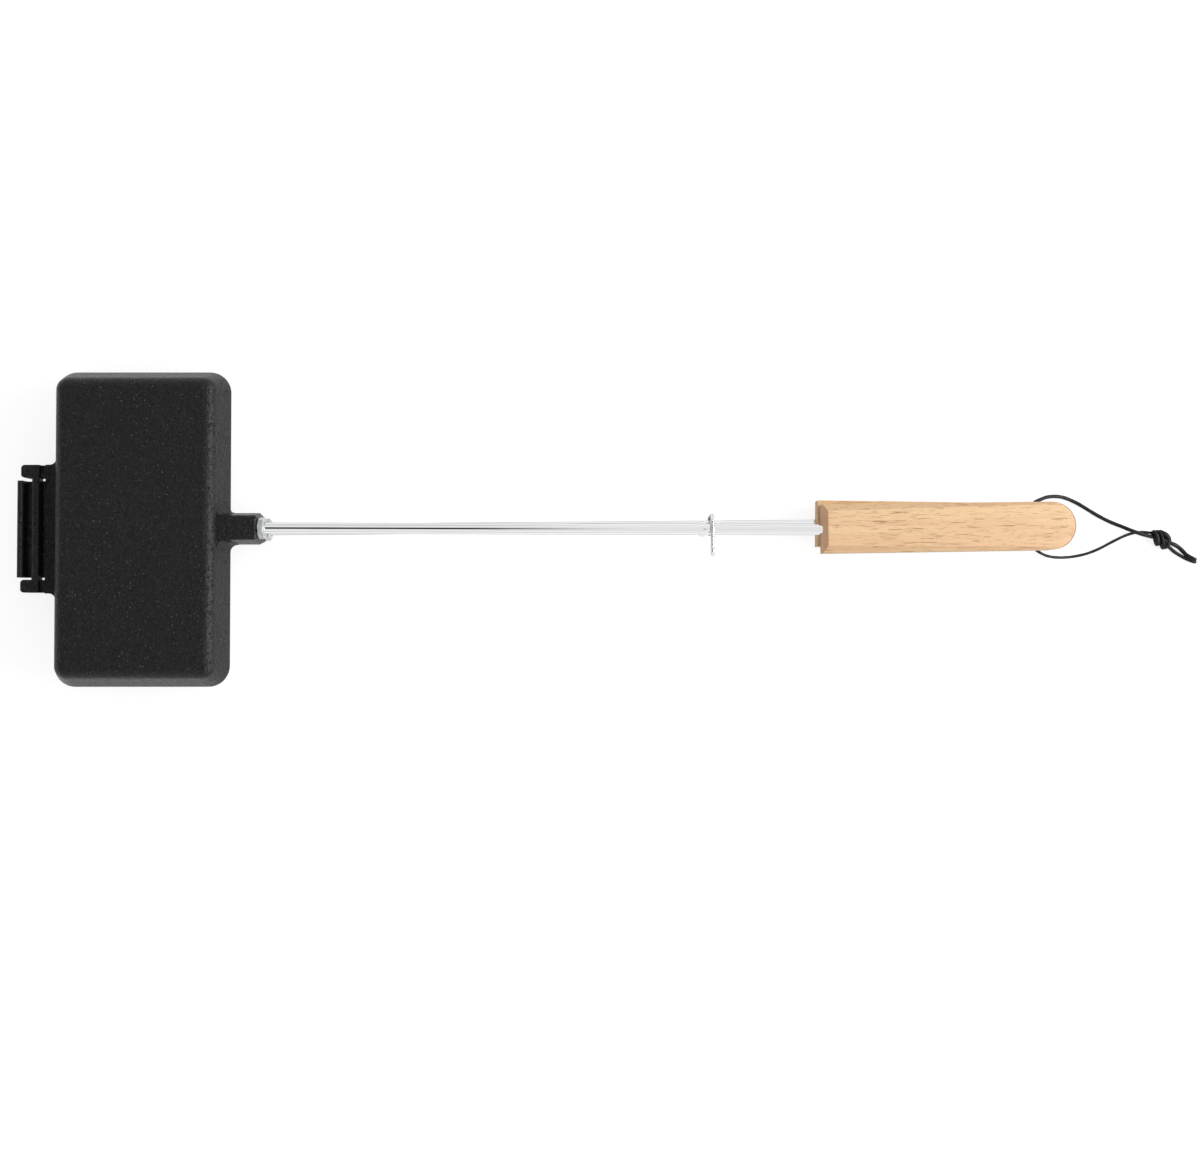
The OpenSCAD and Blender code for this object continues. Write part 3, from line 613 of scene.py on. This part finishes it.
rod_steel, tree, shader = start_material("rod_steel")
drawn = use(tree, strokes_group, length=45, width=0.35, rarity=0.5, edge=0.2)
rubs = use(tree, spots_group, size=9, radius=0.16, share=0.2, ragged=0.7)["Mask"]
colour = stain(tree, ROD_BRIGHT, ROD_DRAWN, drawn["Mask"], 0.35)
tree.links.new(colour, shader["Base Color"])
shader["Metallic"].default_value = 1
shader["Specular Tint"].default_value = ROD_RIM_TINT
tree.links.new(layers(tree, (drawn["Mask"], 0.03), (rubs, 0.10), (1.0, 0.045)),
               shader["Roughness"])
raise_surface(tree, shader, layers(tree, (drawn["Tone"], 0.000006), (rubs, -0.000015)))
print("finish", rod_steel.name)

# %% Nuts
ZINC_PALE = (0.72, 0.73, 0.73, 1)
ZINC_GREY = (0.56, 0.57, 0.58, 1)
ZINC_SPOT = (0.42, 0.42, 0.42, 1)

nut_zinc, tree, shader = start_material("nut_zinc")
mottle = use(tree, grit_group, size=3.2, detail=4)["Height"]
fine = use(tree, grit_group, size=0.5, detail=2)["Height"]
spots = use(tree, spots_group, size=1.6, radius=0.25, share=0.25, ragged=0.5)["Mask"]
colour = blend_colour(tree, ramp(tree, mottle, 0.35, 0.65), ZINC_PALE, ZINC_GREY)
colour = stain(tree, colour, ZINC_SPOT, spots, 0.5)
tree.links.new(colour, shader["Base Color"])
shader["Metallic"].default_value = 1
tree.links.new(ramp(tree, mottle, 0.3, 0.7, 0.34, 0.5), shader["Roughness"])
raise_surface(tree, shader, layers(tree, (fine, 0.00003), (spots, -0.00004)))
print("finish", nut_zinc.name)

# %% Latch
LATCH_BRIGHT = (0.90, 0.90, 0.91, 1)
LATCH_WORN = (0.74, 0.75, 0.77, 1)
LATCH_RIM_TINT = (0.2, 0.2, 0.22, 1)

latch_steel, tree, shader = start_material("latch_steel")
drawn = use(tree, grit_group, size=0.7, detail=3)["Height"]
worn = use(tree, grit_group, size=4.5, detail=3)["Height"]
colour = blend_colour(tree, ramp(tree, worn, 0.4, 0.62), LATCH_BRIGHT, LATCH_WORN)
tree.links.new(colour, shader["Base Color"])
shader["Metallic"].default_value = 1
shader["Specular Tint"].default_value = LATCH_RIM_TINT
tree.links.new(ramp(tree, drawn, 0.3, 0.7, 0.10, 0.22), shader["Roughness"])
raise_surface(tree, shader, layers(tree, (drawn, 0.000012)))
print("finish", latch_steel.name)

# %% [markdown]
# ## Wood
#
# The handle is a pale hardwood such as rubberwood, planed and hardly oiled. Its grain runs along
# the handle: broad soft bands, fine lines, and short brown dashes where pores are cut open. The
# ends show end grain, which drinks more oil and is darker and redder, so a mask from the way a
# face looks, along the grain or across it, brings that in. The ends that face away from the pans
# get painted shade as well, a brown laid into their colour. The texture is solid, so the grain runs
# through from the top on to the bevels as it does in real wood. Both halves are the same wood, and
# the lower one is painted paler and more golden: painted light that lifts the shade between them.

# %% Wood
# A brown for painted shade on the ends that face away from the pans.
WOOD_PAINTED_SHADE = (0.24, 0.095, 0.045, 1)


def wood(name, pale, warm, dash, end):
    """The handle's wood in four tones."""
    made, tree, shader = start_material(name)
    bands = use(tree, strokes_group, length=130, width=7, rarity=0.42, edge=0.2)
    lines = use(tree, strokes_group, length=38, width=0.75, rarity=0.5, edge=0.25)
    dashes = use(tree, strokes_group, length=12, width=0.52, rarity=0.605, edge=0.07)
    fine = use(tree, strokes_group, length=5, width=0.36, rarity=0.61, edge=0.08)
    blotch = use(tree, grit_group, size=16, detail=2)["Height"]
    facing = put(tree, "ShaderNodeSeparateXYZ",
                 {0: put(tree, "ShaderNodeTexCoord").outputs["Normal"]}).outputs[0]
    end_grain = ramp(tree, calc(tree, "ABSOLUTE", facing), 0.15, 0.75)
    # Painted shade on the ends that face away from the pans.
    painted_end_shade = ramp(tree, facing, 0.12, 0.5)
    colour = blend_colour(tree, bands["Mask"], pale, warm)
    for mask, strength, tone in (
            (ramp(tree, blotch, 0.5, 0.7), 0.35, warm), (lines["Mask"], 0.19, dash),
            (dashes["Mask"], 0.8, dash), (fine["Mask"], 0.45, dash),
            (end_grain, 0.6, end), (painted_end_shade, 0.75, WOOD_PAINTED_SHADE)):
        colour = stain(tree, colour, tone, mask, strength)
    tree.links.new(colour, shader["Base Color"])
    tree.links.new(layers(tree, (lines["Tone"], 0.12), (dashes["Mask"], 0.12), (1.0, 0.46)),
                   shader["Roughness"])
    shader["Specular IOR Level"].default_value = 0.35
    raise_surface(tree, shader, layers(tree, (lines["Tone"], 0.00004), (dashes["Mask"], -0.00010),
                                       (fine["Mask"], -0.00005)))
    print("finish", name)
    return made


handle_wood = wood("handle_wood", pale=(0.735, 0.505, 0.29, 1), warm=(0.705, 0.455, 0.262, 1),
                   dash=(0.38, 0.17, 0.075, 1), end=(0.84, 0.47, 0.275, 1))
# The lower half is the same wood as the upper one; its paler, more golden tones are painted light
# that lifts the shade between the halves.
handle_wood_lower_painted_light = wood("handle_wood_lower_painted_light",
                         pale=(0.92, 0.645, 0.375, 1), warm=(0.87, 0.585, 0.32, 1),
                         dash=(0.40, 0.21, 0.09, 1), end=(0.72, 0.50, 0.27, 1))

# %% [markdown]
# ## Leather
#
# A cut leather lace is black through and through. Its surface is smooth with a slight polish,
# creases across it where it bends, and a few dull scuffs.

# %% Leather
LEATHER_BLACK = (0.0045, 0.0042, 0.0042, 1)
LEATHER_SCUFF = (0.012, 0.011, 0.0105, 1)

lace_leather, tree, shader = start_material("lace_leather")
crease = use(tree, grit_group, size=1.3, detail=4)["Height"]
scuff = use(tree, grit_group, size=6, detail=3)["Height"]
colour = blend_colour(tree, ramp(tree, scuff, 0.5, 0.75), LEATHER_BLACK, LEATHER_SCUFF)
tree.links.new(colour, shader["Base Color"])
tree.links.new(ramp(tree, crease, 0.3, 0.7, 0.38, 0.56), shader["Roughness"])
shader["Specular IOR Level"].default_value = 0.25
raise_surface(tree, shader, layers(tree, (crease, 0.00025)))
print("finish", lace_leather.name)

# %% [markdown]
# ## Putting the finishes on
#
# The solids of the frame already hold a plain material. Their slot is switched from the mesh to
# the object, and the finish goes there, so the mesh itself stays as it was. The rods and the lace
# are new meshes with no slot yet, and simply get the finish as their first.


# %% Finishes go on
def dress(finish, *pieces):
    """Puts a finish on pieces, in their only material slot."""
    for piece in pieces:
        if piece.data.materials:
            piece.material_slots[0].link = "OBJECT"
            piece.material_slots[0].material = finish
        else:
            piece.data.materials.append(finish)
    print(finish.name, "is on", ", ".join(piece.name for piece in pieces))


dress(cast_iron, NODES["upper_pan"], NODES["lower_pan"])
dress(nut_zinc, NODES["upper_nut"], NODES["lower_nut"])
dress(latch_steel, NODES["latch_wire"])
dress(handle_wood, NODES["upper_handle"])
dress(handle_wood_lower_painted_light, NODES["lower_handle"])
dress(rod_steel, upper_rod, lower_rod)
dress(lace_leather, left_strand, right_strand, knot)

# %% [markdown]
# ## Broken edges
#
# A planed handle and a turned nut have edges that sandpaper or a tool has just taken off, and a
# thin bright line runs along each. The meshes come with their corners split, so a weld joins them
# first. Then a bevel rounds every sharp edge, and its normals keep the faces flat.

# %% Bevels
HANDLE_EDGE = 0.35 * MM
NUT_EDGE = 0.2 * MM
SHARP = math.radians(25)
SAME_POINT = 0.002 * MM


def break_edges(width, *names):
    """Rounds the sharp edges of pieces of the frame. Their meshes stay as they are."""
    for name in names:
        piece = NODES[name]
        weld = piece.modifiers.new("weld", "WELD")
        weld.merge_threshold = SAME_POINT
        bevel = piece.modifiers.new("bevel", "BEVEL")
        bevel.width = width
        bevel.segments = 2
        bevel.limit_method = "ANGLE"
        bevel.angle_limit = SHARP
        bevel.harden_normals = True
        print(name, "has edges broken by", round(width / MM, 2), "mm")


break_edges(HANDLE_EDGE, "upper_handle", "lower_handle")
break_edges(NUT_EDGE, "upper_nut", "lower_nut")

# %% [markdown]
# ## Light, floor and backdrop
#
# Plain studio light on a pale table. The sky is even and a little darker at its top. A direction
# in it is written as a slope: how far it leans to the side for each metre that it rises. The masks
# for the darker parts of the sky are made of these slopes.

# %% World
# A direction's height is kept over this, so that no slope is divided by nothing.
LEAST_RISE = 0.001
SKY_LOW = 0.95
SKY_HIGH = 0.83

world = bpy.data.worlds.new("studio")
bpy.context.scene.world = world
world.use_nodes = True
sky = world.node_tree
sky.nodes.clear()
way = put(sky, "ShaderNodeSeparateXYZ",
          {0: put(sky, "ShaderNodeTexCoord").outputs["Generated"]}).outputs
rise = calc(sky, "MAXIMUM", way["Z"], LEAST_RISE)
lean_x = calc(sky, "DIVIDE", way["X"], rise)
lean_y = calc(sky, "ABSOLUTE", calc(sky, "DIVIDE", way["Y"], rise))
light = ramp(sky, way["Z"], 0.35, 0.85, SKY_LOW, SKY_HIGH)
print("sky from", SKY_LOW, "to", SKY_HIGH)

# %% [markdown]
# A mirror between even white walls shows nothing but white. The rods are such mirrors, and what
# draws them is the dark things round a photographer's table. A field overhead and to the left is
# what a camera and its stand look like: it gives the dark line along the rods and keeps the top of
# the pan black. Beyond it lies a dim zone, which keeps the rounded left edge of the pan dark. Two
# grey bands stand low at both sides of the table and draw the soft grey lines along the rods.

# %% The bands at the sides
BAND_LEFT = 0.62
BAND_RIGHT = 0.40
BAND_TOP = 0.16
BAND_RISES = 0.42
BAND_SOFT = 0.06
BAND_ASIDE = (0.9, 0.5)

sideways = calc(sky, "DIVIDE", way["X"],
                calc(sky, "MAXIMUM", calc(sky, "ABSOLUTE", way["Y"]), LEAST_RISE))
leftward = ramp(sky, sideways, 0.02, -0.12)
behind = ramp(sky, way["Y"], -0.01, 0.01, 0.5, 1)
top = calc(sky, "MULTIPLY", overlap(sky, behind, leftward), BAND_RISES)
top = calc(sky, "ADD", top, BAND_TOP)
under = ramp(sky, way["Z"], top, calc(sky, "SUBTRACT", top, BAND_SOFT))
aside = ramp(sky, calc(sky, "ABSOLUTE", sideways), *BAND_ASIDE)
band_tone = ramp(sky, leftward, 0, 1, BAND_RIGHT, BAND_LEFT)
light = blend(sky, overlap(sky, under, aside), light, band_tone)
print("bands of", BAND_LEFT, "and", BAND_RIGHT)

# %% The dim zone and the field overhead
DIM = 0.12
DIM_NEAR = (-0.36, -0.44)
DIM_FAR = (-2.2, -1.4)
DIM_ASIDE = (1.3, 0.8)
FIELD = 0.02
FIELD_RIGHT = (0.03, -0.10)
FIELD_LEFT = (-0.62, -0.42)
FIELD_ASIDE = (0.33, 0.25)

dim = overlap(sky, ramp(sky, lean_x, *DIM_NEAR), ramp(sky, lean_x, *DIM_FAR),
              ramp(sky, lean_y, *DIM_ASIDE))
light = blend(sky, dim, light, DIM)
field = overlap(sky, ramp(sky, lean_x, *FIELD_RIGHT), ramp(sky, lean_x, *FIELD_LEFT),
                ramp(sky, lean_y, *FIELD_ASIDE))
light = blend(sky, field, light, FIELD)
print("a dim zone of", DIM, "and a field of", FIELD)

# %% [markdown]
# The sky lights the iron, but the camera itself sees plain white behind it. Light Path tells the
# two apart.

# %% Sky and backdrop
ambient = put(sky, "ShaderNodeBackground", {"Color": (1, 1, 1, 1), "Strength": light})
white = put(sky, "ShaderNodeBackground", {"Color": (1, 1, 1, 1), "Strength": 1})
seen = put(sky, "ShaderNodeLightPath").outputs["Is Camera Ray"]
mixed = put(sky, "ShaderNodeMixShader", {0: seen, 1: ambient.outputs[0], 2: white.outputs[0]})
put(sky, "ShaderNodeOutputWorld", {"Surface": mixed.outputs[0]})
print("nodes in the sky:", len(sky.nodes))

# %% [markdown]
# The floor is a grey diffuse surface that keeps the iron's shadow. More light on it would also be
# more light on the iron, so what the camera and the mirrors see of the floor is lifted to white by
# a share of plain emission, which lights nothing else.


# %% Floor
FLOOR_SIZE = 12
FLOOR_TONE = 0.26
FLOOR_LIFT = 0.82


def seen_white(tree):
    """1 for what the camera sees by itself, in a mirror or through glass, and 0 for light."""
    path = put(tree, "ShaderNodeLightPath").outputs
    seen = calc(tree, "ADD", path["Is Camera Ray"], path["Is Glossy Ray"])
    return calc(tree, "ADD", seen, path["Is Transmission Ray"], clamp=True)


half = FLOOR_SIZE / 2
floor_mesh = bpy.data.meshes.new("floor")
floor_mesh.from_pydata([(-half, -half, 0), (half, -half, 0), (half, half, 0), (-half, half, 0)],
                       [], [(0, 1, 2, 3)])
floor = bpy.data.objects.new("floor", floor_mesh)
bpy.context.scene.collection.objects.link(floor)
paper = bpy.data.materials.new("paper")
paper.use_nodes = True
tree = paper.node_tree
tree.nodes.clear()
lit = put(tree, "ShaderNodeBsdfDiffuse", {"Color": (FLOOR_TONE, FLOOR_TONE, FLOOR_TONE, 1)})
lift = calc(tree, "MULTIPLY", seen_white(tree), FLOOR_LIFT)
glow = put(tree, "ShaderNodeEmission", {"Color": (1, 1, 1, 1), "Strength": lift})
both = put(tree, "ShaderNodeAddShader", {0: lit.outputs[0], 1: glow.outputs[0]})
put(tree, "ShaderNodeOutputMaterial", {"Surface": both.outputs[0]})
floor_mesh.materials.append(paper)
print("floor of", FLOOR_SIZE, "m")

# %% [markdown]
# One soft panel stands on the right. It lights the handle's top a little from the side and brings
# out the pan's right edge.


# %% Lamps
def panel(name, place, size, power, aim):
    """A soft rectangular lamp that looks at a point."""
    data = bpy.data.lights.new(name, "AREA")
    data.shape = "RECTANGLE"
    data.size, data.size_y = size
    data.energy = power
    lamp = bpy.data.objects.new(name, data)
    lamp.location = place
    lamp.rotation_euler = (Vector(aim) - Vector(place)).to_track_quat("-Z", "Y").to_euler()
    bpy.context.scene.collection.objects.link(lamp)
    print(name, "gives", power, "W")


panel("panel_right", place=(1.9, 0.0, 1.05), size=(1.6, 0.5), power=32, aim=(0.1, 0, 0))

# %% [markdown]
# ## View
#
# The Standard view shows each colour as it is written.

# %% View
bpy.context.scene.view_settings.view_transform = "Standard"
print("view:", bpy.context.scene.view_settings.view_transform)
